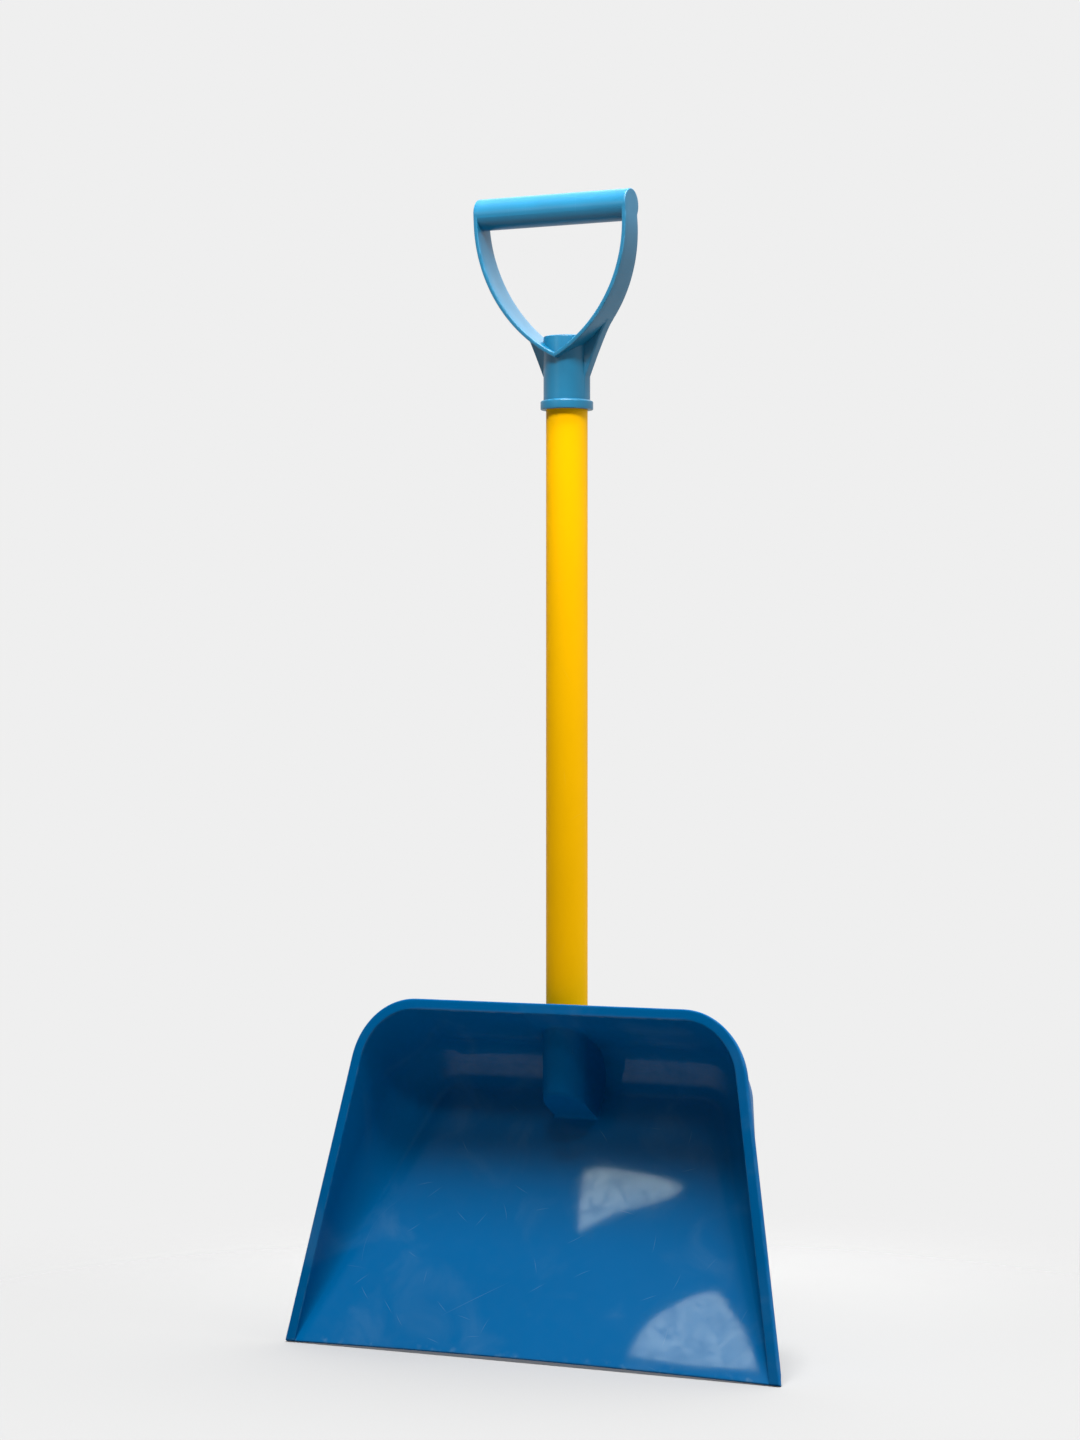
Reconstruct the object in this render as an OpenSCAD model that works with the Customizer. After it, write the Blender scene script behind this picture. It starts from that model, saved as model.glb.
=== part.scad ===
// Snow shovel: a moulded scoop and a moulded D-grip on a straight tube handle.
// The shovel stands upright on its front edge, with its open side towards -Y.

/* [Handle tube] */
// Outside diameter of the tube
tube_d = 25; // [22:0.5:28]
// Wall thickness of the tube
tube_wall = 2.5; // [1.5:0.1:4]
// Length of the tube
tube_len = 448; // [350:1:650]
// Radial room between the tube and its two sockets
tube_clearance = 0.1; // [0.05:0.05:0.3]

/* [Scoop pan] */
// Width of the floor at the front edge
mouth_w = 312; // [270:1:360]
// Width of the floor where it meets the back wall
back_w = 220; // [200:1:240]
// Length of the floor from the front edge to the back wall
floor_len = 190; // [175:1:220]
// Depth of the pan at the back, from the floor to the rim
pan_depth = 67; // [58:1:80]
// Angle between the floor and the handle
floor_tilt = 27; // [22:1:32]
// Lean of the back wall away from the floor's square
back_lean = 2; // [0:1:8]
// Draft of the side walls
side_draft = 8; // [3:1:12]
// Thickness of the floor and the walls
pan_wall = 2.5; // [1.8:0.1:4]
// Radius of the upright corners between the back wall and the side walls
corner_r = 38; // [28:1:48]
// Radius where the floor turns up into the back wall
floor_fillet = 23; // [12:1:26]

/* [Scoop rim] */
// Width of the flat rim around the pan
rim_w = 6.5; // [4:0.5:10]
// Thickness of the flat rim
rim_t = 2.2; // [1.5:0.1:3]
// Height of the lip that turns down at the rim's outer edge, with the rim
lip_h = 5; // [3.5:0.5:8]
// Thickness of the lip
lip_t = 2; // [1.5:0.1:3]

/* [Scoop socket] */
// Distance along the floor from the back wall to the socket's end wall
socket_end = 37.5; // [32:0.5:45]
// Distance from the handle's axis back to the floor at that end wall
axis_to_floor = 12.4; // [12:0.1:15]
// Thickness of the socket around the tube, and of its end wall
socket_wall = 1.8; // [1.4:0.1:3]
// Length of the socket's sleeve past the back wall, at its back
sleeve_len = 17.7; // [14:0.1:26]
// Lean of the end wall, so that the moulding leaves its tool
end_lean = 4; // [0:1:8]

/* [Grip] */
// Width of the grip over its two arms
grip_w = 101; // [90:1:120]
// Diameter of the hand bar
bar_d = 19; // [16:0.5:24]
// Height of the bar's axis above the grip socket's closed top
bar_rise = 74; // [66:0.5:82]
// How far the bar sits in front of the handle's axis
bar_forward = 15.5; // [8:0.5:20]
// Outer radius of the curved arms
arm_r = 90; // [80:1:110]
// Thickness of the arms
arm_t = 2.5; // [2:0.1:4]
// Straight length of the arms below the bar's axis
arm_straight = 7; // [4:0.5:12]
// Depth of the arms, front to back, where they meet the bar
arm_depth_top = 17; // [14:0.5:18.5]
// Depth of the arms, front to back, where they meet each other
arm_depth_low = 25; // [22:0.5:30]
// Lean of the arms' front edges
arm_lean = 5; // [2:0.5:8]

/* [Grip socket] */
// Outside diameter of the grip's socket
grip_socket_d = 28; // [27:0.5:34]
// Length of tube inside the grip's socket
grip_socket_depth = 39; // [30:1:50]
// Thickness of the socket's closed top
grip_top_t = 5; // [3:0.5:8]
// How far the collar stands out around the socket
collar_out = 1.8; // [1:0.1:4]
// Height of the collar
collar_h = 5.4; // [4:0.2:10]
// Chamfer at the collar's top edge
collar_chamfer = 1; // [0.4:0.1:1.5]
// Thickness of the two webs under the arms
web_t = 8; // [5:0.5:12]
// Height of the webs' feet above the socket's open end
web_foot = 21; // [12:1:26]
// Angle below level at which the webs' free edges run into the arms
web_top_angle = 40; // [34:1:46]
// Angle below level at which the webs end between the arms
web_low_angle = 57; // [52:1:60]
// Length over which the webs' free edges bend into the arms
web_bend = 6.5; // [3:0.5:10]

/* [Fixing screws] */
// Diameter of the screw's shank
screw_d = 3; // [2.5:0.1:4]
// Length of the shank
screw_len = 9; // [7:0.5:12]
// Diameter of the screw's round head
screw_head_d = 6.4; // [5.5:0.1:8]
// Height of the screw's round head
screw_head_h = 2.2; // [1.6:0.1:3]
// Width of the cross slot in the screw's head
slot_w = 1; // [0.6:0.1:1.4]
// Length of the cross slot
slot_len = 3.8; // [2.5:0.1:4.5]
// Depth of the cross slot
slot_deep = 1.3; // [0.6:0.1:1.4]
// Radial room around the shank
screw_clearance = 0.1; // [0.05:0.05:0.3]
// Height of the scoop's screw above the back wall, at the back of the sleeve
scoop_screw_rise = 6.7; // [5:0.1:9]
// Height of the grip's screw above the socket's open end
grip_screw_rise = 15; // [12:0.5:20]

/* [Hidden] */
$fn = 96;
// How far a cutting shape runs past the face that it cuts
cut = 1;
// Thickness of the slices that a rounded form is stretched over
slice_t = 0.01;
form_fn = 32;
fillet_steps = 8;
arc_steps = 12;
// A length that reaches past the whole part
span = 2 * (mouth_w + floor_len + tube_len);
blue = [0.00, 0.36, 0.60];
light_blue = [0.15, 0.48, 0.66];
yellow = [0.96, 0.74, 0.02];
steel = [0.70, 0.71, 0.72];

// Pan: x is across, y runs up the floor from the front edge, z stands off the floor
pan_taper = (mouth_w - back_w) / 2 / floor_len;
pan_slant = sqrt(1 + pow(pan_taper, 2));
rim_run = floor_len + pan_depth * tan(back_lean) + rim_w;
rim_angle = atan(pan_depth / rim_run);
form_top = pan_depth + cut;
rim_taper = pan_taper - tan(rim_angle) * tan(side_draft);
rim_slant = sqrt(1 + pow(rim_taper, 2));
rim_corner_r = corner_r + rim_w;

// Handle: its axis is x = y = 0, and the pan's front edge is carried from the socket's end
end_y = floor_len - socket_end;
pan_y = axis_to_floor - end_y * sin(floor_tilt);
pan_z = pan_wall * sin(floor_tilt);
tube_r = tube_d / 2;
bore_r = tube_r + tube_clearance;
socket_r = bore_r + socket_wall;
end_rise = (axis_to_floor + bore_r) / cos(floor_tilt);
end_back = end_rise * tan(end_lean);
seat_up = (end_y + end_back) * cos(floor_tilt) + end_rise * sin(floor_tilt);
tube_z = pan_z + seat_up + socket_wall;
tube_top = tube_z + tube_len;

// Grip: arms are arcs about a centre on the far side of the handle's axis
grip_low = tube_top - grip_socket_depth;
grip_top = tube_top + grip_top_t;
grip_socket_r = grip_socket_d / 2;
bar_z = grip_top + bar_rise;
arm_x = grip_w / 2 - arm_r;
arm_z = bar_z - arm_straight;
arm_tip_z = arm_z - sqrt(pow(arm_r, 2) - pow(arm_x, 2));
bar_front = bar_forward + bar_d / 2;
tip_front = bar_front - (bar_z - arm_tip_z) * tan(arm_lean);
straight_front = bar_front - arm_straight * tan(arm_lean);

// Height at which the back wall's outer face passes a distance behind the handle's axis
function wall_z(behind) =
  let (face_y = floor_len + pan_wall)
  let (fall = cos(floor_tilt) - tan(back_lean) * sin(floor_tilt))
  let (up = (pan_y + face_y * sin(floor_tilt) - behind) / fall)
  pan_z + (face_y + up * tan(back_lean)) * cos(floor_tilt) + up * sin(floor_tilt);

// Sleeve and screws: the screws point towards the handle's axis from behind
sleeve_top = wall_z(socket_r) + sleeve_len;
scoop_screw_z = wall_z(socket_r) + scoop_screw_rise;
grip_screw_z = grip_low + grip_screw_rise;

// Whole part: centred front to back, with the lowest edge at z = 0
fillet_swell = sqrt(pow(sin(floor_tilt), 2) + pow(cos(floor_tilt) - sin(floor_tilt) * tan(back_lean), 2));
fillet_start = floor_len - floor_fillet * (1 - tan(back_lean));
fillet_y = pan_y + fillet_start * sin(floor_tilt) - floor_fillet * cos(floor_tilt);
rear_y = fillet_y + (floor_fillet + pan_wall) * fillet_swell;
centre_y = (pan_y + rear_y) / 2;

module whole() {
  translate([0, -centre_y, 0])
    children();
}

module pan_place() {
  translate([0, pan_y, pan_z])
    rotate([90 - floor_tilt, 0, 0])
      children();
}

// One height of the pan's form: two back corners and two front points, mirrored
module pan_slice(height, edge, front_edge) {
  back_y = floor_len + height * tan(back_lean) + edge;
  round_r = corner_r + edge;
  reach = mouth_w / 2 + height * tan(side_draft);
  corner_y = back_y - round_r;
  corner_x = reach + edge * pan_slant - pan_taper * corner_y - round_r * pan_slant;
  front_x = reach + front_edge * pan_slant + pan_taper * cut;
  for (side = [-1, 1]) {
    translate([side * corner_x, corner_y, height])
      cylinder(r = round_r, h = slice_t, $fn = form_fn);
    translate([side * front_x, -cut, height])
      cylinder(r = slice_t, h = slice_t, $fn = 4);
  }
}

// The pan as a filled form, grown by a wall; its floor fillet fades out at the front
module pan_form(grow, under) {
  fillet = floor_fillet + grow;
  hull() {
    pan_slice(-grow - under, grow - fillet, grow);
    for (i = [0 : fillet_steps]) {
      turn = 90 * i / fillet_steps;
      pan_slice(fillet * (1 - cos(turn)) - grow, grow - fillet * (1 - sin(turn)), grow);
    }
    pan_slice(form_top, grow, grow);
  }
}

// A layer of the given thickness under the rim's plane
module rim_layer(thickness) {
  rotate([rim_angle, 0, 0])
    translate([-span / 2, -span / 2, -thickness])
      cube([span, span, thickness]);
}

// Outline of the rim seen along the pan's depth, moved in by the given amount
function rim_corner(inset, from, to) =
  let (round_r = rim_corner_r - inset)
  let (corner_y = rim_run - rim_corner_r)
  let (corner_x = mouth_w / 2 + rim_w * rim_slant - rim_taper * corner_y - rim_corner_r * rim_slant)
  [for (i = [0 : arc_steps])
    let (turn = from + (to - from) * i / arc_steps)
    [sign(90 - (from + to) / 2) * corner_x + round_r * cos(turn), corner_y + round_r * sin(turn)]];

function rim_outline(inset) =
  let (front_x = mouth_w / 2 + (rim_w - inset) * rim_slant + rim_taper * cut)
  concat(
    [[front_x, -cut]],
    rim_corner(inset, atan(rim_taper), 90),
    rim_corner(inset, 90, 180 - atan(rim_taper)),
    [[-front_x, -cut]]);

module rim_prism(inset) {
  drop = lip_h + cut;
  translate([0, 0, -drop])
    linear_extrude(form_top + drop)
      polygon(rim_outline(inset));
}

module rim() {
  intersection() {
    rim_prism(0);
    rim_layer(rim_t);
  }
  intersection() {
    difference() {
      rim_prism(0);
      rim_prism(lip_t);
    }
    rim_layer(lip_h);
  }
}

module pan_shell() {
  difference() {
    union() {
      intersection() {
        pan_form(pan_wall, cut);
        rim_layer(span);
      }
      rim();
    }
    pan_form(0, 0);
  }
}

// The half of space behind the socket's end wall
module behind_end() {
  translate([-span / 2, end_y, -pan_wall])
    rotate([-end_lean, 0, 0])
      translate([0, 0, -span / 2])
        cube([span, span, span]);
}

// Arch over the tube's end, standing on the floor, and the sleeve behind the back wall
module scoop_socket() {
  intersection() {
    union() {
      cylinder(r = socket_r, h = sleeve_top);
      intersection() {
        translate([-socket_r, 0, 0])
          cube([2 * socket_r, span, sleeve_top]);
        pan_place()
          pan_form(pan_wall / 2, 0);
      }
    }
    pan_place()
      behind_end();
  }
}

module screw_hole(height) {
  translate([0, 0, height])
    rotate([-90, 0, 0])
      cylinder(d = screw_d + 2 * screw_clearance, h = tube_d);
}

module scoop() {
  color(blue)
    whole()
      difference() {
        union() {
          pan_place()
            pan_shell();
          scoop_socket();
        }
        translate([0, 0, tube_z])
          cylinder(r = bore_r, h = tube_len);
        screw_hole(scoop_screw_z);
        pan_place() {
          translate([-span / 2, -span, -span / 2])
            cube([span, span, span]);
          translate([-span / 2, -span / 2, -pan_wall - span])
            cube([span, span, span]);
        }
      }
}

module handle_tube() {
  color(yellow)
    whole()
      difference() {
        translate([0, 0, tube_z])
          cylinder(r = tube_r, h = tube_len);
        translate([0, 0, tube_z - cut])
          cylinder(r = tube_r - tube_wall, h = tube_len + 2 * cut);
        screw_hole(scoop_screw_z);
        screw_hole(grip_screw_z);
      }
}

// Side view of the arms' depth: it narrows from the tip up to the bar
module arm_depth_prism() {
  rotate([90, 0, 90])
    translate([0, 0, -grip_w])
      linear_extrude(2 * grip_w)
        polygon([
          [-tip_front, arm_tip_z],
          [arm_depth_low - tip_front, arm_tip_z],
          [arm_depth_top - straight_front, arm_z],
          [arm_depth_top - bar_front, bar_z],
          [-bar_front, bar_z]]);
}

// One arm's ring: an arc below, straight above, kept on its own side of the handle
module arm_ring() {
  intersection() {
    union() {
      difference() {
        translate([arm_x, 0, arm_z])
          rotate([90, 0, 0])
            cylinder(r = arm_r, h = grip_w, center = true);
        translate([arm_x, 0, arm_z])
          rotate([90, 0, 0])
            cylinder(r = arm_r - arm_t, h = 2 * grip_w, center = true);
        translate([-span / 2, -span / 2, arm_z])
          cube([span, span, span]);
      }
      translate([grip_w / 2 - arm_t, -grip_w / 2, arm_z])
        cube([arm_t, grip_w, arm_straight]);
    }
    translate([0, -span / 2, 0])
      cube([span, span, span]);
  }
}

function arm_point(angle, radius) = [arm_x + radius * cos(angle), arm_z - radius * sin(angle)];

function bend(a, b, c, t) = a * pow(1 - t, 2) + b * 2 * t * (1 - t) + c * pow(t, 2);

// Web under one arm: its free edge bends from the socket's side into the arm
module web() {
  foot = [grip_socket_r, grip_low + web_foot];
  meet = arm_point(web_top_angle, arm_r);
  knee = meet - web_bend * [sin(web_top_angle), cos(web_top_angle)];
  seat = [for (i = [0 : arc_steps])
    arm_point(web_top_angle + (web_low_angle - web_top_angle) * i / arc_steps, arm_r - arm_t / 2)];
  edge = [for (i = [0 : arc_steps]) bend(foot, knee, meet, i / arc_steps)];
  translate([0, web_t / 2, 0])
    rotate([90, 0, 0])
      linear_extrude(web_t)
        polygon(concat([[0, foot[1]]], edge, seat, [[0, seat[arc_steps][1]]]));
}

module grip_socket() {
  translate([0, 0, grip_low])
    cylinder(r = grip_socket_r, h = grip_top - grip_low);
  translate([0, 0, grip_low])
    cylinder(r = grip_socket_r + collar_out, h = collar_h - collar_chamfer);
  translate([0, 0, grip_low + collar_h - collar_chamfer])
    cylinder(r1 = grip_socket_r + collar_out, r2 = grip_socket_r + collar_out - collar_chamfer,
             h = collar_chamfer);
}

module grip() {
  color(light_blue)
    whole()
      difference() {
        union() {
          grip_socket();
          translate([0, -bar_forward, bar_z])
            rotate([0, 90, 0])
              cylinder(d = bar_d, h = grip_w, center = true);
          intersection() {
            arm_depth_prism();
            union() {
              arm_ring();
              mirror([1, 0, 0])
                arm_ring();
            }
          }
          web();
          mirror([1, 0, 0])
            web();
        }
        translate([0, 0, grip_low - cut])
          cylinder(r = bore_r, h = grip_socket_depth + cut);
        screw_hole(grip_screw_z);
      }
}

// Pan-head screw seated on a socket's round back, with a cross slot in its head
module screw(height, seat_r) {
  translate([0, seat_r, height])
    rotate([-90, 0, 0])
      difference() {
        union() {
          translate([0, 0, -screw_len])
            cylinder(d = screw_d, h = screw_len + screw_head_h / 2);
          cylinder(d = screw_head_d, h = screw_head_h);
        }
        for (turn = [0, 90])
          rotate([0, 0, turn])
            translate([-slot_len / 2, -slot_w / 2, screw_head_h - slot_deep])
              cube([slot_len, slot_w, slot_deep + cut]);
      }
}

module fixing_screws() {
  color(steel)
    whole() {
      screw(scoop_screw_z, socket_r);
      screw(grip_screw_z, grip_socket_r);
    }
}

scoop();
handle_tube();
grip();
fixing_screws();
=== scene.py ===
import math

import bmesh
import bpy
import numpy as np
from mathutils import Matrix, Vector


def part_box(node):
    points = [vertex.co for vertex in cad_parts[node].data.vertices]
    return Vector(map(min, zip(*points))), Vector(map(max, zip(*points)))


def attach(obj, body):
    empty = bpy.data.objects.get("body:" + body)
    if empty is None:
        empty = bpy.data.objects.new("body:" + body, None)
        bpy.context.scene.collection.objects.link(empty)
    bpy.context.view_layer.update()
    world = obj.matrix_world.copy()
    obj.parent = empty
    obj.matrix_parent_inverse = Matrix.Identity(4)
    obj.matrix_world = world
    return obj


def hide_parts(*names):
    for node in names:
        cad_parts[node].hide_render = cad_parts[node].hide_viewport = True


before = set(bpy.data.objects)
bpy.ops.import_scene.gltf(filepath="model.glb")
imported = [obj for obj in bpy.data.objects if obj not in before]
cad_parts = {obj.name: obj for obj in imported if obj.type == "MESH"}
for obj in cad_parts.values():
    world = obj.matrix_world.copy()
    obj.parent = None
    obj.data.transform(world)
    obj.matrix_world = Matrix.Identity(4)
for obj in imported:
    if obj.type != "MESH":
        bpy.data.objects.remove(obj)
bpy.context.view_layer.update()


# Handle tube: a straight length of hollow plastic tube, extruded in yellow right through.
# It is sawn square, its rims are broken with a scraper, and each end sits in a moulded socket,
# held there by one screw from behind.

mm = 0.001
tube_wall = 2.5 * mm
tube_break = 0.5 * mm
hole_r = 1.6 * mm
weld_gap = 0.004 * mm
sliver = 0.002 * mm
soft_crease = 40
tube_low, tube_high = (np.array(corner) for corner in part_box("handle_tube"))
tube_r = (tube_high[0] - tube_low[0]) / 2
axis_y = (tube_high[1] + tube_low[1]) / 2
screw_low, screw_high = (np.array(corner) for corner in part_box("fixing_screws"))
head_r = (screw_high[0] - screw_low[0]) / 2
screw_heights = (screw_low[2] + head_r, screw_high[2] - head_r)


def grid_faces(rows, columns, closed_rows, closed_columns):
    """Quads of a grid of points: a point, its neighbour in the row, and the same two in the next row."""
    row = np.arange(rows if closed_rows else rows - 1)[:, None]
    column = np.arange(columns if closed_columns else columns - 1)[None, :]
    next_row = (row + 1) % rows
    next_column = (column + 1) % columns
    corners = [row * columns + column, row * columns + next_column,
               next_row * columns + next_column, next_row * columns + column]
    return np.stack(corners, axis=-1).reshape(-1, 4)


def make_piece(name, grids, caps=(), crease=soft_crease):
    """One closed mesh from grids of points, each (points, closed rows, closed columns), and flat caps.
    Points that coincide are welded, faces turn outwards, and edges past the crease angle stay sharp."""
    points, faces, count = [], [], 0
    for grid, closed_rows, closed_columns in grids:
        points.append(grid.reshape(-1, 3))
        quads = grid_faces(*grid.shape[:2], closed_rows, closed_columns)
        faces.extend((quads + count).tolist())
        count += len(points[-1])
    for cap in caps:
        points.append(cap)
        faces.append(list(range(count, count + len(cap))))
        count += len(cap)
    mesh = bpy.data.meshes.new(name)
    mesh.from_pydata(np.concatenate(points).tolist(), [], faces)
    work = bmesh.new()
    work.from_mesh(mesh)
    bmesh.ops.remove_doubles(work, verts=work.verts, dist=weld_gap)
    bmesh.ops.dissolve_degenerate(work, edges=work.edges, dist=sliver)
    bmesh.ops.recalc_face_normals(work, faces=work.faces)
    work.to_mesh(mesh)
    work.free()
    mesh.shade_smooth()
    mesh.set_sharp_from_angle(angle=math.radians(crease))
    piece = bpy.data.objects.new(name, mesh)
    bpy.context.scene.collection.objects.link(piece)
    return piece


def fuse(piece, tool, operation, crease=soft_crease):
    """Joins the tool to the piece, or cuts it out of the piece, and removes the tool."""
    step = piece.modifiers.new(operation, "BOOLEAN")
    step.operation = operation
    step.solver = "MANIFOLD"
    step.object = tool
    graph = bpy.context.evaluated_depsgraph_get()
    mesh = bpy.data.meshes.new_from_object(piece.evaluated_get(graph))
    mesh.materials.clear()
    mesh.set_sharp_from_angle(angle=math.radians(crease))
    piece.modifiers.clear()
    piece.data = mesh
    bpy.data.objects.remove(tool)


def turned(radius, height, steps=96):
    """Surface turned about the handle's axis: each profile point's radius and height, at every angle."""
    angle = np.linspace(0, 2 * np.pi, steps, endpoint=False)[:, None]
    radius, height = np.array(radius), np.array(height)
    return np.stack([radius * np.cos(angle), axis_y + radius * np.sin(angle), height + 0 * angle], axis=-1)


def turned_back(radius, back, height, steps=48):
    """Surface turned about a level line that runs straight back from the handle's axis at a height."""
    angle = np.linspace(0, 2 * np.pi, steps, endpoint=False)[:, None]
    radius, back = np.array(radius), np.array(back)
    across = radius * np.cos(angle)
    up = height + radius * np.sin(angle)
    return np.stack([across, axis_y + back + 0 * angle, up], axis=-1)


def drill(piece, height):
    """Drills the hole for a screw's shank from behind, through to the handle's axis."""
    hole = turned_back([0, hole_r, hole_r, 0], [0, 0, 2 * tube_r, 2 * tube_r], height)
    fuse(piece, make_piece("hole", [(hole, True, False)]), "DIFFERENCE")


bore_r = tube_r - tube_wall
tube = make_piece("handle_tube_skin", [(turned(
    [tube_r - tube_break, tube_r, tube_r, tube_r - tube_break,
     bore_r + tube_break, bore_r, bore_r, bore_r + tube_break],
    [tube_low[2], tube_low[2] + tube_break, tube_high[2] - tube_break, tube_high[2],
     tube_high[2], tube_high[2] - tube_break, tube_low[2] + tube_break, tube_low[2]],
    steps=128), True, True)])
for height in screw_heights:
    drill(tube, height)


def stored(items, field, width):
    """A field of a mesh's points, edges, faces or corners as one array, a row for each."""
    counted = field.endswith(("ces", "index", "total"))
    values = np.empty(len(items) * width, dtype=np.int32 if counted else np.float32)
    items.foreach_get(field, values)
    return values.reshape(-1, width)


def mark(mesh, name, values):
    """Keeps one number for each point of a mesh, for its material to read."""
    mesh.attributes.new(name, "FLOAT", "POINT").data.foreach_set("value", values.astype(np.float32))


def mark_bulges(mesh, sharp_r):
    """Keeps how tightly the surface bulges at each point: 1 at sharp_r, and 0 where it is flat or hollow.
    Across an edge, the bulge is how far the normal turns along the step between the two faces' middles."""
    face = np.repeat(np.arange(len(mesh.polygons)), stored(mesh.polygons, "loop_total", 1)[:, 0])
    pair = face[np.argsort(stored(mesh.loops, "edge_index", 1)[:, 0], kind="stable")].reshape(-1, 2)
    step = np.diff(stored(mesh.polygons, "center", 3)[pair], axis=1)[:, 0]
    swing = np.diff(stored(mesh.polygons, "normal", 3)[pair], axis=1)[:, 0]
    bulge = (swing * step).sum(axis=1) / np.maximum((step ** 2).sum(axis=1), mm ** 4)
    ends = stored(mesh.edges, "vertices", 2)
    length = np.linalg.norm(np.diff(stored(mesh.vertices, "co", 3)[ends], axis=1)[:, 0], axis=1)
    total = np.bincount(ends.ravel(), weights=np.repeat(bulge * length, 2), minlength=len(mesh.vertices))
    share = np.bincount(ends.ravel(), weights=np.repeat(length, 2), minlength=len(mesh.vertices))
    # Kept as rubbed: the materials lighten these tight edges, partly as wear and partly as a painted
    # highlight
    mark(mesh, "rubbed", np.clip(total / np.maximum(share, mm ** 3) * sharp_r, 0, 1))


def feed(tree, node, inputs):
    """Sets a node's inputs: a number or colour goes on the socket, another node's output is linked."""
    for name, value in inputs.items():
        if isinstance(value, bpy.types.NodeSocket):
            tree.links.new(value, node.inputs[name])
        else:
            node.inputs[name].default_value = value


def add(tree, kind, inputs=None, **settings):
    """One shader node with its settings and inputs."""
    node = tree.nodes.new("ShaderNode" + kind)
    for name, value in settings.items():
        setattr(node, name, value)
    feed(tree, node, inputs or {})
    return node


def worked(tree, operation, *values):
    """The result of one sum on values or other nodes' outputs."""
    return add(tree, "Math", dict(enumerate(values)), operation=operation).outputs["Value"]


def ranged(tree, value, low, high, to_low=0, to_high=1):
    """A value brought smoothly from one range to another, and held at its ends."""
    inputs = {"Value": value, "From Min": low, "From Max": high, "To Min": to_low, "To Max": to_high}
    return add(tree, "MapRange", inputs, interpolation_type="SMOOTHSTEP").outputs["Result"]


def mixed(tree, share, first, second):
    """A colour mixed from the first to the second by a share."""
    return add(tree, "Mix", {0: share, 6: first, 7: second}, data_type="RGBA").outputs[2]


def noise(tree, place, size, detail=2.0, stretch=0.0):
    """Cloudy noise with features of about 1 / size."""
    inputs = {"Vector": place, "Scale": size, "Detail": detail, "Distortion": stretch}
    return add(tree, "TexNoise", inputs).outputs["Fac"]


def bumped(tree, height):
    """The surface's normal, tilted by a height."""
    return add(tree, "Bump", {"Height": height, "Distance": 1}).outputs["Normal"]


def shader_group(name, inputs, outputs):
    """An empty shader group with named sockets: its tree, what it is given and what it puts out."""
    tree = bpy.data.node_groups.new(name, "ShaderNodeTree")
    for way, sockets in (("INPUT", inputs), ("OUTPUT", outputs)):
        for socket, kind in sockets.items():
            tree.interface.new_socket(socket, in_out=way, socket_type="NodeSocket" + kind)
    return tree, tree.nodes.new("NodeGroupInput").outputs, tree.nodes.new("NodeGroupOutput")


def placed(tree, group, place, values):
    """A shared effect placed in a material with its own values: what it puts out."""
    return add(tree, "Group", {"Place": place, **values}, node_tree=group).outputs[0]


# Pigment: plastic is never mixed quite evenly, so its colour drifts a little in clouds
noise_middle = 0.5
pigment, given, result = shader_group(
    "pigment", {"Place": "Vector", "Colour": "Color", "Drift": "Float", "Size": "Float"},
    {"Colour": "Color"})
cloud = noise(pigment, given["Place"], given["Size"], detail=3)
cloud = worked(pigment, "SUBTRACT", cloud, noise_middle)
value = worked(pigment, "MULTIPLY_ADD", cloud, given["Drift"], 1)
tint = add(pigment, "HueSaturation", {"Value": value, "Color": given["Colour"]}).outputs["Color"]
feed(pigment, result, {"Colour": tint})

# Scratches: one short bent line in some of the cells of a random net, each at its own angle
bend_range = 30
scratches, given, result = shader_group(
    "scratches",
    {"Place": "Vector", "Cells": "Float", "Length": "Float", "Width": "Float", "Share": "Float"},
    {"Mask": "Float"})
net = {"Vector": given["Place"], "Scale": given["Cells"]}
cell = add(scratches, "TexVoronoi", net, voronoi_dimensions="2D").outputs
chance = add(scratches, "SeparateColor", {"Color": cell["Color"]}).outputs
angle = worked(scratches, "MULTIPLY", chance["Red"], 2 * math.pi)
local = add(scratches, "VectorMath", {0: given["Place"], 1: cell["Position"]}, operation="SUBTRACT")
swung = {"Vector": local.outputs["Vector"], "Angle": angle}
local = add(scratches, "VectorRotate", swung, rotation_type="Z_AXIS")
local = add(scratches, "SeparateXYZ", {"Vector": local.outputs["Vector"]}).outputs
bend = worked(scratches, "MULTIPLY", worked(scratches, "SUBTRACT", chance["Green"], noise_middle), bend_range)
squared = worked(scratches, "MULTIPLY", local["X"], local["X"])
off = worked(scratches, "MULTIPLY_ADD", squared, bend, local["Y"])
line = ranged(scratches, worked(scratches, "ABSOLUTE", off), given["Width"], 0)
stretch = ranged(scratches, worked(scratches, "ABSOLUTE", local["X"]), given["Length"], 0)
some = worked(scratches, "LESS_THAN", chance["Blue"], given["Share"])
mask = worked(scratches, "MULTIPLY", worked(scratches, "MULTIPLY", line, stretch), some)
feed(scratches, result, {"Mask": mask})

# Skin: the slow waves of a cooled wall and the fine grain of the tool's face, as a height
skin, given, result = shader_group(
    "skin", {"Place": "Vector", "Wave Depth": "Float", "Wave Size": "Float", "Grain Depth": "Float",
             "Grain Size": "Float"}, {"Height": "Float"})
wave = noise(skin, given["Place"], given["Wave Size"], detail=2.5)
wave = worked(skin, "MULTIPLY", wave, given["Wave Depth"])
grain = noise(skin, given["Place"], given["Grain Size"], detail=2)
feed(skin, result, {"Height": worked(skin, "MULTIPLY_ADD", grain, given["Grain Depth"], wave)})

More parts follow.
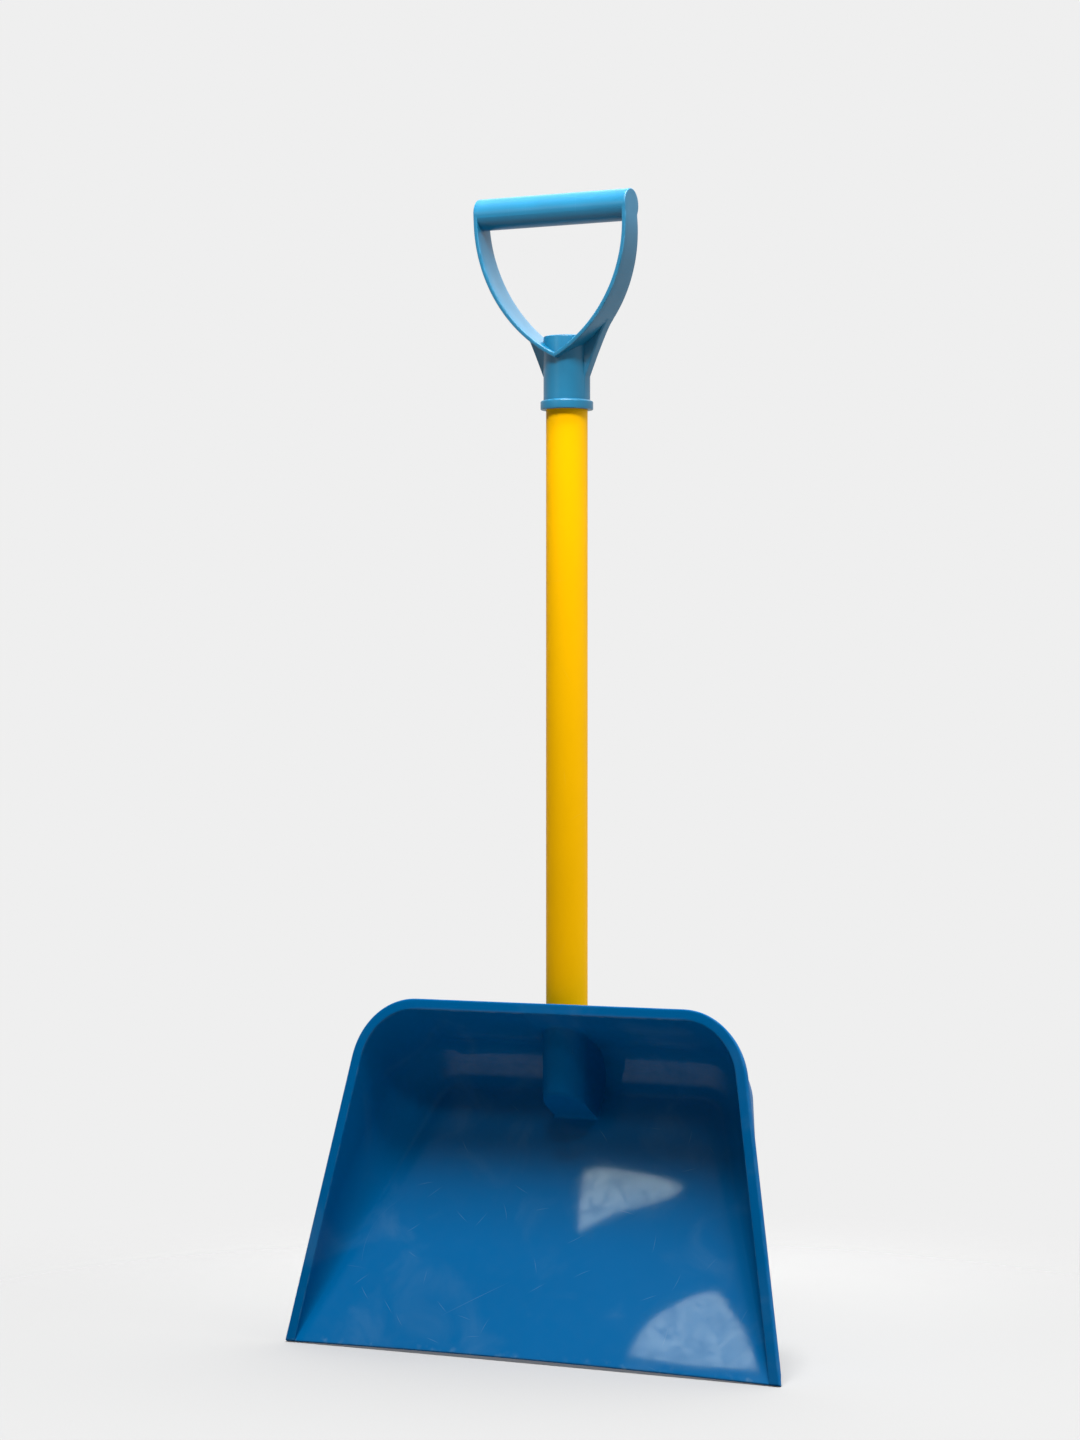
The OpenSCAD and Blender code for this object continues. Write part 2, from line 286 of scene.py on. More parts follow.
# Edge wear and highlight: tight outer edges lose their gloss in broken stretches, and where the materials
# lighten them, the lightening is partly rubbed wear and partly a painted highlight
edge_wear_and_highlight, given, result = shader_group("edge_wear_and_highlight", {"Place": "Vector", "Size": "Float"}, {"Mask": "Float"})
edge = add(edge_wear_and_highlight, "Attribute", attribute_name="rubbed").outputs["Fac"]
edge = ranged(edge_wear_and_highlight, edge, low=0.25, high=0.9)
broken = ranged(edge_wear_and_highlight, noise(edge_wear_and_highlight, given["Place"], given["Size"], detail=4), low=0.35, high=0.7)
feed(edge_wear_and_highlight, result, {"Mask": worked(edge_wear_and_highlight, "MULTIPLY", edge, broken)})


def new_material(name, piece):
    """A material on a piece, with its tree, its shader and the piece's own coordinates."""
    material = bpy.data.materials.new(name)
    material.use_nodes = True
    piece.data.materials.append(material)
    tree = material.node_tree
    return tree, tree.nodes["Principled BSDF"], add(tree, "TexCoord").outputs["Object"]


# Finish: satin, drawn into faint lines along the tube by the die, and lightly scuffed, with its tight rims
# lightened partly as wear and partly as a painted highlight
tube_yellow = (0.98, 0.505, 0.0, 1)
tube_scuff_and_highlight = (0.98, 0.56, 0.06, 1)
tube_sharp_r = 1.2 * mm
tube_pigment = {"Colour": tube_yellow, "Drift": 0.12, "Size": 14}
tube_scratches = {"Cells": 60, "Length": 7 * mm, "Width": 0.12 * mm, "Share": 0.3}
tube_skin = {"Wave Depth": 0.02 * mm, "Wave Size": 90, "Grain Depth": 0.006 * mm, "Grain Size": 900}
tube_wear_and_highlight = {"Size": 200}
tube_draw = 0.02
tube_dull = 0.36
tube_dull_drift = 0.12
tube_scuff_and_highlight_most = 0.5
scratch_dull = 0.2

mark_bulges(tube.data, tube_sharp_r)
tree, shader, place = new_material("tube_yellow", tube)
along = add(tree, "Mapping", {"Vector": place, "Scale": (1, 1, tube_draw)}).outputs["Vector"]
upright = add(tree, "Mapping", {"Vector": place, "Rotation": (math.pi / 2, 0, 0)}).outputs["Vector"]
lines = placed(tree, scratches, upright, tube_scratches)
worn_and_highlit_edges = placed(tree, edge_wear_and_highlight, place, tube_wear_and_highlight)
# Lighter in the scratches, and on the tight rims, where the lightening is partly wear and partly a painted
# highlight
scuffs_and_edge_highlight = worked(tree, "MULTIPLY", worked(tree, "MAXIMUM", lines, worn_and_highlit_edges), tube_scuff_and_highlight_most)
dull = worked(tree, "MULTIPLY_ADD", noise(tree, along, size=300), tube_dull_drift, tube_dull)
feed(tree, shader, {
    "Base Color": mixed(tree, scuffs_and_edge_highlight, placed(tree, pigment, place, tube_pigment), tube_scuff_and_highlight),
    "Roughness": worked(tree, "MULTIPLY_ADD", lines, scratch_dull, dull),
    "Specular IOR Level": 0.04,
    "Normal": bumped(tree, placed(tree, skin, along, tube_skin))})
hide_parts("handle_tube")
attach(tube, "root")


# Scoop: one deep blue plastic moulding. A flat floor, side walls that rise from the front edge,
# a back wall, a flat rim with its lip turned down, an arch over the handle's end,
# and a sleeve behind the back wall that takes the tube.

mouth_w = 312 * mm
back_w = 220 * mm
floor_len = 190 * mm
pan_depth = 67 * mm
floor_tilt = math.radians(27)
back_slope = math.tan(math.radians(2))
side_slope = math.tan(math.radians(8))
pan_wall = 2.5 * mm
corner_r = 38 * mm
floor_fillet = 23 * mm
rim_w = 6.5 * mm
rim_t = 2.2 * mm
lip_h = 5 * mm
lip_t = 2 * mm
front_bow = 1.7 * mm
bow_len = 45 * mm
front_dip = 0.4 * mm
dip_len = 70 * mm
nose_r = 0.5 * mm

pan_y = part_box("scoop")[0][1]
pan_z = pan_wall * math.sin(floor_tilt)
pan_taper = (mouth_w - back_w) / 2 / floor_len
pan_slant = math.hypot(1, pan_taper)
rim_slope = pan_depth / (floor_len + pan_depth * back_slope + rim_w)
flat_x = mouth_w / 2 - pan_taper * (floor_len - corner_r) - corner_r * pan_slant
still_x = 30 * mm
q_corner, q_side = 0.42, 0.56


def ease(t):
    """Smooth step: 0 below 0, 1 above 1, and 3t^2 - 2t^3 between."""
    t = np.clip(t, 0, 1)
    return t * t * (3 - 2 * t)


def soft_min(a, b, blend):
    """The lesser of two heights, with their crossing rounded over a blend length."""
    return np.minimum(a, b) - np.maximum(blend - np.abs(a - b), 0) ** 2 / (4 * blend)


def soft_floor(a, blend):
    """Height above zero, with the foot rounded over a blend length."""
    return np.where(a > blend, a, np.maximum(a + blend, 0) ** 2 / (4 * blend))


def pan_level(q, height, edge, front_edge):
    """Level line of the pan's right half at a height off the floor. q runs from the middle of the back
    wall (0), round the upright corner, along the side wall to the front (1): a straight, an arc and its
    tangent. edge moves it out at the back and front_edge at the front, so a fillet fades forwards."""
    round_r = corner_r + edge
    corner_y = floor_len + height * back_slope - corner_r
    reach = mouth_w / 2 + height * side_slope
    corner_x = reach - pan_taper * corner_y - corner_r * pan_slant
    front_x = reach + front_edge * pan_slant
    far = np.hypot(front_x - corner_x, corner_y)
    last_turn = np.arctan2(-corner_y, front_x - corner_x) + np.arccos(round_r / far)
    flat = flat_x * np.clip(q / q_corner, 0, 1)
    flat = flat + (corner_x - flat_x) * np.clip((flat - still_x) / (flat_x - still_x), 0, 1)
    side = np.clip((q - q_side) / (1 - q_side), 0, 1)
    turn = np.pi / 2 + (last_turn - np.pi / 2) * np.clip((q - q_corner) / (q_side - q_corner), 0, 1)
    x = flat + round_r * np.cos(turn)
    y = corner_y + round_r * np.sin(turn)
    return x + (front_x - x) * side, y * (1 - side), np.cos(turn), np.sin(turn), side


def dip(y):
    """How far the floor thins towards the front edge."""
    return front_dip * (1 - np.clip(y / dip_len, 0, 1)) ** 2


def spaced(*stops):
    """Stations through the given stops: pairs of (where the stretch ends, how many steps it takes)."""
    ends = [0] + [end for end, steps in stops]
    runs = [np.linspace(a, b, steps + 1)[1:] for a, (b, steps) in zip(ends, stops)]
    return np.concatenate([[0], *runs])


# Stations along the level lines: close together over the arch and at the front edge
turn_steps, side_steps = 24, 48
crown_x, arch_x = 10 * mm, 19 * mm
flat_q = spaced((crown_x, 8), (arch_x, 36), (still_x, 9), (flat_x, 14)) / flat_x * q_corner
turn_q = np.linspace(q_corner, q_side, turn_steps + 1)[1:]
nose_y = np.array([6, 3, 1.4, 0.5, 0.34, 0.2, 0.09, 0.02, 0]) * mm
nose_q = 1 - (1 - q_side) * nose_y / (floor_len - corner_r)
side_q = np.concatenate([np.linspace(q_side, 1, side_steps + 1)[1:-2], nose_q])
q = np.concatenate([flat_q, turn_q, side_q])[:, None]
mid = len(flat_q) + len(turn_q) // 2 - 1

# Height of the rim, settled in a few passes, because the walls lean out as they rise
rim_passes = 5
rise = 0 * q
for _ in range(rim_passes):
    rise = pan_level(q, rise, 0, 0)[1] * rim_slope
rim_x, rim_y, out_x, out_y, side = pan_level(q, rise, 0, 0)
top = rise + dip(rim_y)

# Floor of the pan: a plain patch inside the ring of level lines
patch_y, patch_back, patch_front = 118 * mm, 58 * mm, 122 * mm
toe_x, toe_y = pan_level(q, 0, -floor_fillet, 0)[:2]
patch_edge_y = np.minimum(toe_y / toe_y[mid], 1) * patch_y
patch_edge_x = patch_front + (patch_back - patch_front) * patch_edge_y / patch_y
back_x = np.interp(toe_x, [0, still_x, toe_x[mid, 0]], [0, still_x, patch_back])
patch_edge_x = np.where(q <= q[mid], back_x, patch_edge_x)

# Inside of the pan: floor, fillet and wall
fillet_most = 0.75
fillet_blend = 6 * mm
rim_round = 0.7 * mm
round_most = 0.15
fillet_steps = 40
arch_reach, arch_climb = 0.55, 0.62
reach = spaced((arch_reach, 6), (1, 30))[None, :]
turn = np.linspace(0, np.pi / 2, fillet_steps + 1)[None, 1:]
climb = spaced((arch_climb, 30), (1, 12))[None, 1:]
rim_in = np.minimum(rim_round, round_most * top)
fillet_h = soft_min(floor_fillet, fillet_most * top, fillet_blend)
turn_h = fillet_h * (1 - np.cos(turn))
wall_h = fillet_h + climb * (top - rim_in - fillet_h)
floor_x = patch_edge_x + (toe_x - patch_edge_x) * reach
floor_y = patch_edge_y + (toe_y - patch_edge_y) * reach
inside = [np.stack(np.broadcast_arrays(*line), axis=-1) for line in (
    (floor_x, floor_y, 0 * reach),
    (*pan_level(q, turn_h * rise / top, -floor_fillet * (1 - np.sin(turn)), 0)[:2], turn_h),
    (*pan_level(q, wall_h * rise / top, 0, 0)[:2], wall_h))]
inside = np.concatenate(inside, axis=1)
inside[..., 2] -= dip(inside[..., 1])

# Arch over the handle's end, raised out of the corner between the floor and the back wall
socket_r = 14.4 * mm
end_y = 152.5 * mm
end_slope = math.tan(math.radians(4))
axis_off = 12.4 * mm
arch_blend = 3 * mm
foot_blend = 2.2 * mm
arch_skirt = 1.1 * mm
arch_fade = 1.6 * mm
x, y, z = np.moveaxis(inside, -1, 0)
forward = -(y - end_y) * math.sin(floor_tilt) + z * math.cos(floor_tilt) - axis_off
crown = np.sqrt(np.maximum(socket_r ** 2 - x ** 2, 0))
to_crown = (crown - forward) / math.sin(floor_tilt + math.pi / 4)
to_end = (y - end_y - (z + pan_wall) * end_slope) * math.sqrt(2) / (1 + end_slope)
lift = soft_floor(soft_min(to_crown, to_end, arch_blend), foot_blend)
lift = lift * ease((socket_r + arch_skirt - np.abs(x)) / arch_fade)
inside[..., 1] -= lift / math.sqrt(2)
inside[..., 2] += lift / math.sqrt(2)

# Rim, lip and outside: out across the rim, over the lip, back under it and down the wall's outer face
rim_out = 1.2 * mm
lip_round = 0.5 * mm
lip_foot_most = 0.8
wall_round = 0.6 * mm
wall_round_most = 0.3
steepest = 0.2
lip = np.minimum(lip_h, rise + pan_wall)
hang = lip - rim_t
lip_foot = np.minimum(lip_t / 2, lip_foot_most * hang)
lip_in = np.minimum(lip_round, round_most * hang)
wall_in = np.minimum(wall_round, wall_round_most * (rise + pan_wall - rim_t))
round_steps, fold_steps, straight_steps = 6, 10, 4
quarter = np.linspace(0, np.pi / 2, round_steps + 1)[None, :]
half = np.linspace(0, np.pi, fold_steps + 1)[None, :]
share = np.linspace(0, 1, straight_steps + 1)[None, 1:-1]
across = [
    (rim_in * (1 - np.cos(quarter)), -rim_in * (1 - np.sin(quarter))),
    (rim_in + (rim_w - rim_out - rim_in) * share, 0 * share),
    (rim_w - rim_out * (1 - np.sin(quarter)), -rim_out * (1 - np.cos(quarter))),
    (rim_w + 0 * share, -rim_out - (lip - lip_foot - rim_out) * share),
    (rim_w - lip_t / 2 * (1 - np.cos(half)), -(lip - lip_foot) - lip_foot * np.sin(half)),
    (rim_w - lip_t + 0 * share, -(lip - lip_foot) - (rim_t + lip_in - lip + lip_foot) * share),
    (rim_w - lip_t - lip_in * (1 - np.cos(quarter)), -rim_t - lip_in * (1 - np.sin(quarter))),
    (rim_w - lip_t - lip_in + (pan_wall + wall_in - rim_w + lip_t + lip_in) * share, -rim_t + 0 * share)]
across = [np.stack(np.broadcast_arrays(q * 0 + a, q * 0 + b), axis=-1) for a, b in across]
a, b = np.moveaxis(np.concatenate(across, axis=1), -1, 0)
rim = np.stack([rim_x + a * (out_x + (1 / out_x.clip(steepest) - out_x) * side),
                rim_y + a * out_y * (1 - side),
                rise + a * out_y * (1 - side) * rim_slope + b], axis=-1)

fillet_gain = 0.3 * mm
wall_steps, outer_steps, under_steps = 14, 18, 6
outer_fillet = floor_fillet + pan_wall + fillet_gain
drop = rise - rim_t - wall_in + pan_wall
outer_h = soft_min(outer_fillet, fillet_most * drop, fillet_blend)
down = np.linspace(1, 0, wall_steps + 1)[None, :]
turn = np.linspace(np.pi / 2, 0, outer_steps + 1)[None, 1:]
back = np.linspace(0, 1, under_steps + 1)[None, 1:]
heel_x, heel_y = pan_level(q, -pan_wall, pan_wall - outer_fillet, pan_wall)[:2]
under_x = heel_x + (patch_edge_x - heel_x) * back
under_y = heel_y + (patch_edge_y - heel_y) * back
wall_h = outer_h + (drop - outer_h) * down - pan_wall
turn_h = outer_h * (1 - np.cos(turn)) - pan_wall
outside = [np.stack(np.broadcast_arrays(*line), axis=-1) for line in (
    (*pan_level(q, wall_h, pan_wall, pan_wall)[:2], wall_h),
    (*pan_level(q, turn_h, pan_wall - outer_fillet * (1 - np.sin(turn)), pan_wall)[:2], turn_h),
    (under_x, under_y, -pan_wall + 0 * back))]
ring = np.concatenate([inside, rim, *outside], axis=1)

# Front edge: rounded by drawing the section in as it nears the front, then bowed a little
column = np.concatenate([-patch_edge_x[mid::-1, 0], patch_edge_x[1:mid + 1, 0]]) / patch_back
patch_x = patch_edge_x[mid:] * column[None, :]
patch_rows = patch_edge_y[mid:] + 0 * patch_x
upper = np.stack([patch_x, patch_rows, -dip(patch_rows)], axis=-1)
under = np.stack([patch_x, patch_rows, -pan_wall + 0 * patch_x], axis=-1)


def drawn_in(y):
    """How far a face draws in at a distance from the front edge: a quarter circle of the nose's radius."""
    return nose_r - np.sqrt(nose_r ** 2 - np.clip(nose_r - y, 0, nose_r) ** 2)


way = np.gradient(ring, axis=1)[..., [0, 2]]
way /= np.linalg.norm(way, axis=-1, keepdims=True) + mm ** 4
ring[..., [0, 2]] += drawn_in(ring[..., 1])[..., None] * np.stack([way[..., 1], -way[..., 0]], axis=-1)
upper[..., 2] -= drawn_in(upper[..., 1])
under[..., 2] += drawn_in(under[..., 1])


def pan_place(points):
    """From the pan (across, up the floor, off the floor) to the shovel, with the front edge bowed."""
    x, y, z = np.moveaxis(points, -1, 0)
    bow = front_bow * np.clip(1 - (2 * x / mouth_w) ** 2, 0, 1)
    y = y + bow * (1 - np.clip(y / bow_len, 0, 1)) ** 2
    return np.stack([x, pan_y + y * math.sin(floor_tilt) - z * math.cos(floor_tilt),
                     pan_z + y * math.cos(floor_tilt) + z * math.sin(floor_tilt)], axis=-1)


ring, upper, under = pan_place(ring), pan_place(upper), pan_place(under)
ring = np.concatenate([(ring * [-1, 1, 1])[::-1], ring[1:]])
scoop = make_piece(
    "scoop_moulding",
    [(ring, False, False), (upper, False, False), (under, False, False),
     (np.stack([upper[-1], under[-1]]), False, False)],
    caps=[ring[0], ring[-1]])

# Sleeve behind the back wall, with the handle's bore through it and the arch
sleeve_top = 199.3 * mm
sleeve_foot = 178 * mm
sleeve_r = 0.7 * mm
socket_room = 0.1 * mm
socket_bore = tube_r + socket_room
soft = np.linspace(0, np.pi / 2, round_steps + 1)
sleeve_round = sleeve_r * (1 - np.cos(soft))
sleeve = turned(np.concatenate([[0, socket_r], socket_r - sleeve_round, [0]]),
                np.concatenate([[sleeve_foot, sleeve_foot], sleeve_top - sleeve_round[::-1], [sleeve_top]]))
fuse(scoop, make_piece("sleeve", [(sleeve, True, False)]), "UNION")
bore_top = sleeve_top + lip_h
bore = turned([0, socket_bore, socket_bore, 0], [tube_low[2], tube_low[2], bore_top, bore_top])
fuse(scoop, make_piece("bore", [(bore, True, False)]), "DIFFERENCE")
drill(scoop, screw_heights[0])

# Where it shines: the floor, polished by snow up to the arch, and a band across the inside of the back
floor_gloss = 0.4
rear_gloss = 0.12
gloss_fade = 20 * mm
floor_gap = 2 * mm
fillet_gap = 5 * mm
floor_fade = 6 * mm
arch_gap = 4 * mm
arch_side_fade = 3 * mm
band_low = 1.2 * mm
band_low_fade = 1.5 * mm
band_past = 20 * mm
band_side_fade = 18 * mm
x, y, z = stored(scoop.data.vertices, "co", 3).T
up_floor = (y - pan_y) * math.sin(floor_tilt) + (z - pan_z) * math.cos(floor_tilt)
off_floor = (z - pan_z) * math.sin(floor_tilt) - (y - pan_y) * math.cos(floor_tilt)
fillet_share = np.clip(up_floor / (floor_len - corner_r), 0, 1)
foot_gap = floor_gap + fillet_gap * fillet_share ** 2
from_side = mouth_w / 2 - pan_taper * up_floor - floor_fillet * fillet_share - np.abs(x)
from_foot = np.minimum(from_side, floor_len - floor_fillet - up_floor)
before_arch = ease((end_y - arch_gap - up_floor) / arch_gap)
beside_arch = ease((np.abs(x) - socket_r) / arch_side_fade)
clear_of_arch = np.maximum(before_arch, beside_arch)
on_floor = ease((from_foot - foot_gap) / floor_fade) * (off_floor < pan_wall) * clear_of_arch
in_band = ease((off_floor - band_low) / band_low_fade)
in_band = in_band * ease((flat_x + band_past - np.abs(x)) / band_side_fade)
indoors = up_floor < floor_len + off_floor * back_slope + pan_wall / 2
on_back = in_band * clear_of_arch * indoors
polish = ease((end_y - gloss_fade / 2 - up_floor) / gloss_fade)
polish = rear_gloss + (floor_gloss - rear_gloss) * polish
mark(scoop.data, "floor", on_floor)
mark(scoop.data, "glossy", np.maximum(on_floor * polish, on_back))

# Finish: matt walls under that gloss. Scratches lie on the floor only, and the front edge is scraped
scoop_blue = (0.0, 0.116, 0.325, 1)
scoop_scuff_and_highlight = (0.12, 0.26, 0.42, 1)
scoop_sharp_r = 1.2 * mm
scoop_pigment = {"Colour": scoop_blue, "Drift": 0.16, "Size": 9}
short_scratches = {"Cells": 55, "Length": 7 * mm, "Width": 0.3 * mm, "Share": 0.35}
long_scratches = {"Cells": 14, "Length": 30 * mm, "Width": 0.28 * mm, "Share": 0.5}
scoop_skin = {"Wave Depth": 0.3 * mm, "Wave Size": 11, "Grain Depth": 0.006 * mm, "Grain Size": 220}
scoop_wear_and_highlight = {"Size": 120}
scrape_len = 7 * mm
haze_scuff = 0.16
line_scuff = 0.4
worn_and_highlight_scuff = 0.15
haze_rub = 0.15
line_rub = 0.6
coat_most = 1.1
scoop_dull = 0.24
worn_dull = 0.1

mark_bulges(scoop.data, scoop_sharp_r)
tree, shader, place = new_material("scoop_blue", scoop)
edge_up = pan_y * math.sin(floor_tilt) + pan_z * math.cos(floor_tilt)
edge_off = pan_z * math.sin(floor_tilt) - pan_y * math.cos(floor_tilt)
laid_flat = {"Vector": place, "Rotation": (floor_tilt - math.pi / 2, 0, 0),
             "Location": (0, -edge_up, -edge_off)}
pan = add(tree, "Mapping", laid_flat).outputs["Vector"]
on_floor = add(tree, "Attribute", attribute_name="floor").outputs["Fac"]
glossy = add(tree, "Attribute", attribute_name="glossy").outputs["Fac"]
short = placed(tree, scratches, pan, short_scratches)
long = placed(tree, scratches, pan, long_scratches)
lines = worked(tree, "MULTIPLY", worked(tree, "MAXIMUM", short, long), on_floor)
worn_and_highlit_edges = placed(tree, edge_wear_and_highlight, place, scoop_wear_and_highlight)
haze = ranged(tree, noise(tree, pan, size=22, detail=5, stretch=0.6), low=0.5, high=0.75)
ahead = add(tree, "SeparateXYZ", {"Vector": pan}).outputs["Y"]
chipped = ranged(tree, noise(tree, pan, size=130, detail=4), low=0.5, high=0.9)
scraped = worked(tree, "MULTIPLY", ranged(tree, ahead, scrape_len, 0), chipped)
# Tight edges are lightened a little, partly as wear and partly as a painted highlight; the front edge's
# scrape is wear
edges = worked(tree, "MAXIMUM", worked(tree, "MULTIPLY", worn_and_highlit_edges, worn_and_highlight_scuff), scraped)
hazed = worked(tree, "MULTIPLY", haze, haze_scuff)
scuffs_and_edge_highlight = worked(tree, "MAXIMUM", hazed, worked(tree, "MULTIPLY", lines, line_scuff))
scuffs_and_edge_highlight = worked(tree, "MAXIMUM", scuffs_and_edge_highlight, edges)
mottle = noise(tree, pan, size=130, detail=8, stretch=1)
mottle = ranged(tree, mottle, low=0.3, high=0.7, to_low=0.2, to_high=0.55)
rubbed = worked(tree, "MULTIPLY_ADD", haze, haze_rub, mottle)
rubbed = worked(tree, "MULTIPLY_ADD", lines, line_rub, rubbed)
dull = worked(tree, "MULTIPLY_ADD", worn_and_highlit_edges, worn_dull, scoop_dull)
feed(tree, shader, {
    "Base Color": mixed(tree, scuffs_and_edge_highlight, placed(tree, pigment, place, scoop_pigment), scoop_scuff_and_highlight),
    "Roughness": worked(tree, "MULTIPLY_ADD", lines, scratch_dull, dull),
    "Specular IOR Level": 0.01,
    "Coat Weight": worked(tree, "MULTIPLY", glossy, worked(tree, "SUBTRACT", coat_most, rubbed)),
    "Coat Roughness": 0.035,
    "Coat IOR": 1.3,
    "Normal": bumped(tree, placed(tree, skin, place, scoop_skin))})
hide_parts("scoop")
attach(scoop, "root")


# Grip: one lighter blue plastic moulding. A closed socket with a collar takes the tube's top,
# a flat strap is bent into a D above it with a round hand bar across,
# and a web under each side of the strap stiffens the joint.

bar_r = 9.5 * mm
bar_forward = 15.5 * mm
bar_slack = 0.01 * mm
arm_r = 90 * mm
arm_t = 2.5 * mm
arm_straight = 7 * mm
arm_depth_top = 17 * mm
arm_depth_low = 25 * mm
arm_lean = math.tan(math.radians(5))
arm_round = 0.6 * mm
grip_socket_r = 14 * mm
grip_top_t = 5 * mm
crown_r = 0.9 * mm
collar_r = 15.8 * mm
collar_h = 5.4 * mm
collar_foot_r = 0.5 * mm
collar_top_r = 1 * mm
bevel = 0.4 * mm
web_t = 8 * mm
web_foot = 18 * mm
web_bend = 6.5 * mm
web_angle = math.radians(40)
web_round = 1.2 * mm
web_bite = 0.6 * mm
web_inner = 2 * mm
web_least = 0.2 * mm

grip_low, grip_high = (np.array(corner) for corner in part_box("grip"))
grip_w = grip_high[0] - grip_low[0]
bar_z = grip_high[2] - bar_r
bar_y = axis_y - bar_forward
arm_x = grip_w / 2 - arm_r
arm_z = bar_z - arm_straight
tip_z = arm_z - math.sqrt(arm_r ** 2 - arm_x ** 2)
grip_top = tube_high[2] + grip_top_t

# Socket: a blind bore, a collar rounded at its foot and its top, and a closed top
collar_low = collar_foot_r * (1 - np.cos(soft))
collar_up = collar_top_r * (1 - np.cos(soft))
crown_round = crown_r * (1 - np.cos(soft))
socket = turned(
    np.concatenate([[0, socket_bore, socket_bore, socket_bore + bevel], collar_r - collar_low[::-1],
                    collar_r - collar_up, [grip_socket_r + bevel, grip_socket_r],
                    grip_socket_r - crown_round, [0]]),
    np.concatenate([[tube_high[2], tube_high[2], grip_low[2] + bevel, grip_low[2]], grip_low[2] + collar_low,
                    grip_low[2] + collar_h - collar_up[::-1],
                    [grip_low[2] + collar_h, grip_low[2] + collar_h + bevel],
                    grip_top - crown_round[::-1], [grip_top]]))
grip = make_piece("grip_moulding", [(socket, True, False)])

# Hand bar, turned about its own axis
bar_steps = 96
angle = np.linspace(0, 2 * np.pi, bar_steps, endpoint=False)[:, None]
bar_end = grip_w / 2 - arm_round
bar_x = np.array([-bar_end, -bar_end, bar_end, bar_end])
bar_radius = (bar_r - bar_slack) * np.array([0, 1, 1, 0])
bar_depth = bar_y + bar_radius * np.cos(angle)
bar = np.stack([bar_x + 0 * angle, bar_depth, bar_z + bar_radius * np.sin(angle)], axis=-1)
fuse(grip, make_piece("bar", [(bar, True, False)]), "UNION")


def strap_edges(z, inset):
    """Front and rear of the strap at a height: a leaning band that widens downwards, joined at its top
    by the round of the bar's end."""
    front = bar_y - bar_r + np.maximum(bar_z - z, 0) * arm_lean
    spread = np.clip((arm_z - z) / (arm_z - tip_z), 0, 1)
    rear = front + arm_depth_top + (arm_depth_low - arm_depth_top) * spread
    disc = np.sqrt(np.maximum((bar_r - inset) ** 2 - (z - bar_z) ** 2, 0))
    front = np.where(z > bar_z, bar_y - disc, np.minimum(front + inset, bar_y - disc))
    rear = np.where(z > bar_z, bar_y + disc, np.maximum(rear - inset, bar_y + disc))
    return front, rear


# Strap: a flat section with rounded edges, carried down one side of the D and up the other
disc_steps, down_steps, bend_steps = 24, 12, 80
flat = np.linspace(0, 1, straight_steps + 1)
layer = np.concatenate([-arm_t / 2 + arm_round * (1 - np.cos(soft)),
                        arm_t / 2 - arm_round * (1 - np.cos(soft[::-1]))])
layer_in = np.concatenate([arm_round * (1 - np.sin(soft)), arm_round * (1 - np.sin(soft[::-1]))])
offset = np.concatenate([layer, 0 * flat[1:-1] + arm_t / 2, layer[::-1], 0 * flat[1:-1] - arm_t / 2])
inset = np.concatenate([layer_in, 0 * flat[1:-1] + arm_round, layer_in[::-1], 0 * flat[1:-1] + arm_round])
depth = np.concatenate([0 * layer, flat[1:-1], 0 * layer + 1, flat[-2:0:-1]])
disc_z = bar_z + (bar_r - inset) * np.sin(np.linspace(np.pi / 2, 0, disc_steps + 1)[:, None])
down_z = np.linspace(bar_z, arm_z, down_steps + 1)[1:, None] + 0 * inset
bend_r = arm_r - arm_t / 2 + offset
bend_turn = np.arccos(-arm_x / bend_r) * np.linspace(0, 1, bend_steps + 1)[1:, None]
straight_x = grip_w / 2 - arm_t / 2 + offset
bend_x = arm_x + bend_r * np.cos(bend_turn)
strap_z = np.concatenate([disc_z, down_z, arm_z - bend_r * np.sin(bend_turn)])
strap_x = np.concatenate([straight_x + 0 * disc_z, straight_x + 0 * down_z, bend_x])
front, rear = strap_edges(strap_z, inset)
strap = np.stack([strap_x, front + (rear - front) * depth, strap_z], axis=-1)
strap = np.concatenate([strap, (strap * [-1, 1, 1])[-2::-1]])
fuse(grip, make_piece("strap", [(strap, False, True)], caps=[strap[0], strap[-1]]), "UNION")

# Webs: plates under the strap, whose free edge bends from the socket's side into the strap
meet = np.array([arm_x + arm_r * math.cos(web_angle), arm_z - arm_r * math.sin(web_angle)])
knee = meet - web_bend * np.array([math.sin(web_angle), math.cos(web_angle)])
foot = np.array([grip_socket_r - web_bite, grip_low[2] + web_foot])
web_steps = 40
t = np.linspace(0, 1, web_steps + 1)[:, None]
edge_x, edge_z = np.moveaxis(foot * (1 - t) ** 2 + knee * 2 * t * (1 - t) + meet * t ** 2, -1, 0)[..., None]
strap_r = arm_r - arm_t / 2
hidden_x = arm_x + np.sqrt(np.maximum(strap_r ** 2 - (arm_z - edge_z) ** 2, arm_x ** 2))
hidden_x = np.minimum(np.maximum(hidden_x, web_inner), edge_x - web_least)
round_x = np.minimum(web_round, (edge_x - hidden_x) / 2)
web_x = np.concatenate([hidden_x, edge_x - round_x * (1 - np.sin(soft)),
                        edge_x - round_x * (1 - np.sin(soft[::-1])), hidden_x], axis=1)
web_y = np.concatenate([[web_t / 2], web_t / 2 - web_round * (1 - np.cos(soft)),
                        -web_t / 2 + web_round * (1 - np.cos(soft[::-1])), [-web_t / 2]])
web = np.stack([web_x, axis_y + web_y + 0 * web_x, edge_z + 0 * web_x], axis=-1)
for hand in (1, -1):
    one = web * [hand, 1, 1]
    fuse(grip, make_piece("web", [(one, False, True)], caps=[one[0], one[-1]]), "UNION")
drill(grip, screw_heights[1])

